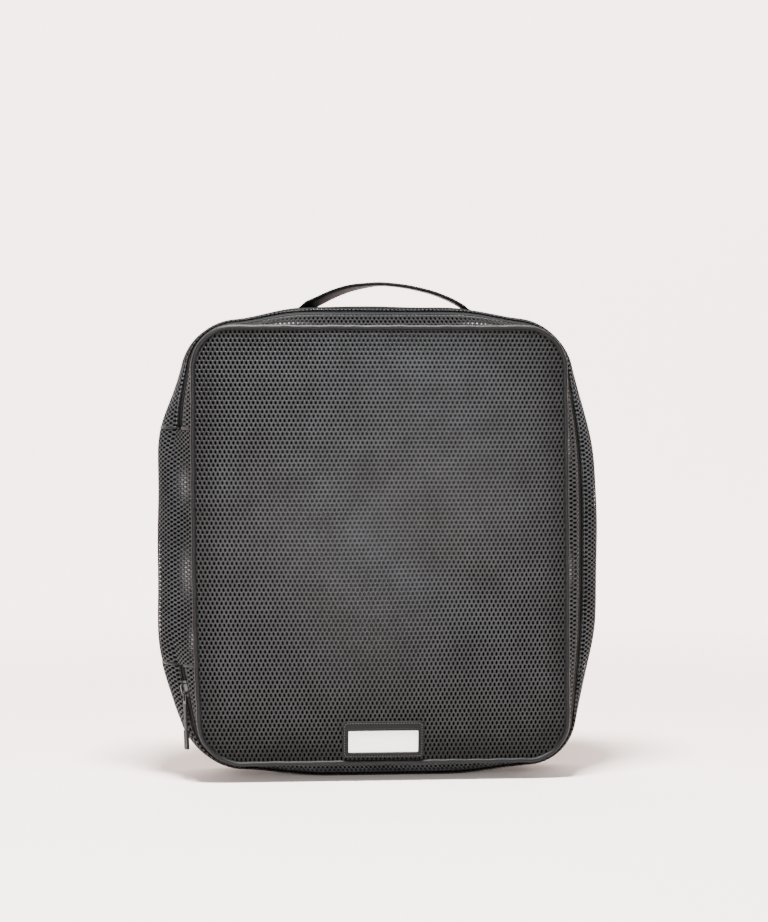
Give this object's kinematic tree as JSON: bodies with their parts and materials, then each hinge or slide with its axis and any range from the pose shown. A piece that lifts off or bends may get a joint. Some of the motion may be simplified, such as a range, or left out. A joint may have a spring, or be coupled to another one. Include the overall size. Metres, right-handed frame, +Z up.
{
  "type": "packing cube",
  "caption": "Upright soft mesh packing cube: zip-round lid hinged on a mesh side panel, piped seams, name label and webbing handle.",
  "frame": {"origin": "middle of the bounding box, on the ground that the bag stands on", "axes": "+Z up, +Y from the front panel to the back panel, +X to the right as seen from the front"},
  "size_m": [0.3564, 0.0938, 0.3916],
  "materials": {
    "air_mesh": "open hexagonal knit air mesh",
    "lining": "plain woven lining",
    "piping": "smooth covered cord",
    "tape": "woven polyester tape",
    "coil": "nylon coil",
    "webbing": "ribbed webbing",
    "label_rubber": "matt moulded rubber",
    "card": "plain white card",
    "film": "clear film",
    "slider_metal": "gunmetal, satin",
    "pull_rubber": "matt moulded rubber"
  },
  "bodies": {
    "shell": {"back_panel": "lining", "back_piping": "piping", "back_seam_binding": "tape", "rear_gusset": "air_mesh", "hinge_panel_rear": "air_mesh", "body_zip_tape": "tape", "body_zip_coil": "coil", "upper_hem_rear": "tape", "lower_hem_rear": "tape", "handle_end_left": "webbing", "handle_end_right": "webbing", "handle_patch": "lining"},
    "lid": {"front_panel": "air_mesh", "front_piping": "piping", "front_seam_binding": "tape", "front_gusset": "air_mesh", "hinge_panel_front": "air_mesh", "lid_zip_tape": "tape", "lid_zip_coil": "coil", "upper_hem_front": "tape", "lower_hem_front": "tape", "label_backing": "label_rubber", "label_frame": "label_rubber", "label_card": "card", "label_window": "film"},
    "slider": {"slider_body": "slider_metal", "slider_bridge": "slider_metal"},
    "pull": {"pull_link": "slider_metal", "pull_tab": "pull_rubber", "pull_grip": "pull_rubber"},
    "handle": {"handle_strap": "webbing"}
  },
  "joints": [
    {"name": "lid_hinge", "type": "hinge", "parent": "shell", "child": "lid", "pos_m": [-0.1601, -0.01897, 0.185], "axis": [0, 0, -1], "range_deg": [0, 145]},
    {"name": "slider_slide", "type": "slide", "parent": "shell", "child": "slider", "axis": [0.1981, 0, -0.9802], "range_m": [0, 0.02]},
    {"name": "pull_swing", "type": "hinge", "parent": "slider", "child": "pull", "pos_m": [-0.15561, -0.01925, 0.06916], "axis": [-0.3578, 0.931, -0.0723], "range_deg": [0, 140]},
    {"name": "handle_tilt", "type": "hinge", "parent": "shell", "child": "handle", "pos_m": [0.0132, 0.00803, 0.3776], "axis": [1, 0, 0], "range_deg": [-25, 25]}
  ]
}
